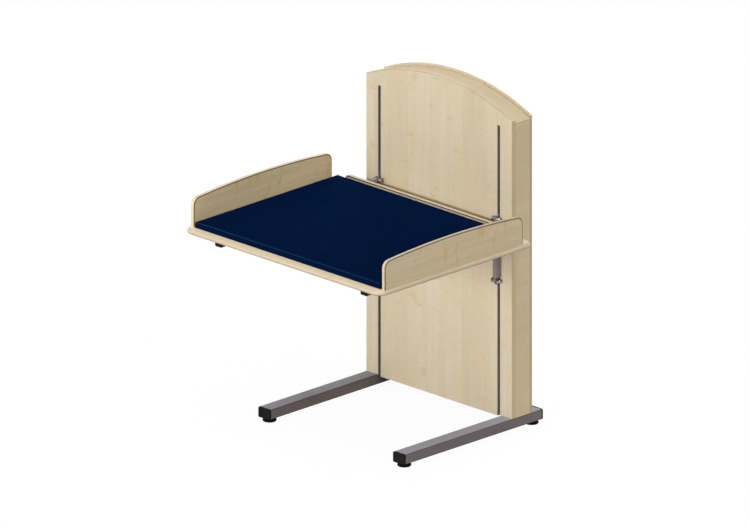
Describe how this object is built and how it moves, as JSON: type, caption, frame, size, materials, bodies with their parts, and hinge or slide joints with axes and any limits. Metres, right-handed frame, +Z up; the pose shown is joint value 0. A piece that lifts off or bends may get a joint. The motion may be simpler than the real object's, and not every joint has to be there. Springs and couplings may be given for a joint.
{
  "type": "height-adjustable baby changing table",
  "caption": "Free-standing baby changing table: a padded tray with raised side boards, lifted along slots in an arched board upright by a spindle inside, on steel skid feet.",
  "frame": {"origin": "on the floor, at the bottom centre of the part's box", "axes": "+Z up, +Y from the table's front edge to the upright at the back, +X to the right as seen from the front"},
  "size_m": [1.024, 0.98, 1.297],
  "materials": {
    "maple_board": "satin maple laminate on board",
    "grey_steel": "satin grey powder coat",
    "zinc_steel": "bright zinc plate",
    "bright_steel": "polished nickel plate",
    "black_plastic": "fine-grained moulded plastic",
    "button_plastic": "satin moulded plastic",
    "slot_trim": "matt extruded plastic",
    "glide_plastic": "natural nylon",
    "bronze": "machined bronze",
    "cast_aluminium": "die-cast, blasted",
    "motor_paint": "satin black paint",
    "dowel_beech": "turned beech",
    "navy_vinyl": "coated textile over foam"
  },
  "bodies": {
    "base": {"left_foot_tube": "grey_steel", "right_foot_tube": "grey_steel", "foot_end_caps": "black_plastic", "leveller_inserts": "zinc_steel", "base_crossbeam": "grey_steel", "left_guide_rail": "zinc_steel", "right_guide_rail": "zinc_steel", "top_tie": "zinc_steel", "spindle_top_bearing": "cast_aluminium", "gearbox_housing": "cast_aluminium", "drive_motor": "motor_paint", "control_box": "black_plastic", "mains_inlet": "black_plastic", "inlet_pins": "bronze", "frame_bolts": "zinc_steel", "front_panel": "maple_board", "back_panel": "maple_board", "left_side_panel": "maple_board", "right_side_panel": "maple_board", "left_slot_liner": "slot_trim", "right_slot_liner": "slot_trim", "top_cover": "maple_board", "panel_dowels": "dowel_beech", "back_panel_screws": "zinc_steel"},
    "lift": {"left_tongue": "grey_steel", "right_tongue": "grey_steel", "left_hanger": "grey_steel", "right_hanger": "grey_steel", "glide_blocks": "glide_plastic", "carriage_bar": "zinc_steel", "nut_bracket": "zinc_steel", "spindle_nut": "bronze", "hanger_bolts": "bright_steel", "hanger_sleeves": "bright_steel", "hanger_cap_nuts": "bright_steel", "left_arm": "grey_steel", "right_arm": "grey_steel", "left_side_board": "maple_board", "right_side_board": "maple_board", "arm_end_caps": "black_plastic", "frame_crossbeam": "grey_steel", "table_board": "maple_board", "table_screws": "zinc_steel", "board_screws": "zinc_steel", "back_rail": "maple_board", "changing_pad": "navy_vinyl", "switch_housing": "black_plastic"},
    "spindle": {"lift_spindle": "zinc_steel"},
    "up_button": {"up_button": "button_plastic"},
    "down_button": {"down_button": "button_plastic"},
    "front_left_leveller": {"front_left_leveller_sole": "black_plastic", "front_left_leveller_stud": "zinc_steel"},
    "front_right_leveller": {"front_right_leveller_sole": "black_plastic", "front_right_leveller_stud": "zinc_steel"},
    "rear_left_leveller": {"rear_left_leveller_sole": "black_plastic", "rear_left_leveller_stud": "zinc_steel"},
    "rear_right_leveller": {"rear_right_leveller_sole": "black_plastic", "rear_right_leveller_stud": "zinc_steel"}
  },
  "joints": [
    {"name": "table_lift", "type": "slide", "parent": "base", "child": "lift", "axis": [0, 0, 1], "range_m": [-0.45, 0.32]},
    {"name": "spindle_turn", "type": "hinge", "parent": "base", "child": "spindle", "pos_m": [0, 0.383, 0], "axis": [0, 0, 1], "range_deg": [-11600, 16300]},
    {"name": "up_press", "type": "slide", "parent": "lift", "child": "up_button", "axis": [0, 1, 0], "range_m": [0, 0.003], "stiffness_N_per_m": 400, "springref_m": -0.002},
    {"name": "down_press", "type": "slide", "parent": "lift", "child": "down_button", "axis": [0, 1, 0], "range_m": [0, 0.003], "stiffness_N_per_m": 400, "springref_m": -0.002},
    {"name": "front_left_level", "type": "slide", "parent": "base", "child": "front_left_leveller", "axis": [0, 0, -1], "range_m": [0, 0.015]},
    {"name": "front_right_level", "type": "slide", "parent": "base", "child": "front_right_leveller", "axis": [0, 0, -1], "range_m": [0, 0.015]},
    {"name": "rear_left_level", "type": "slide", "parent": "base", "child": "rear_left_leveller", "axis": [0, 0, -1], "range_m": [0, 0.015]},
    {"name": "rear_right_level", "type": "slide", "parent": "base", "child": "rear_right_leveller", "axis": [0, 0, -1], "range_m": [0, 0.015]}
  ],
  "couplings": [
    {"joint": "spindle_turn", "follows": "table_lift", "rad_per_m": -628.32}
  ]
}
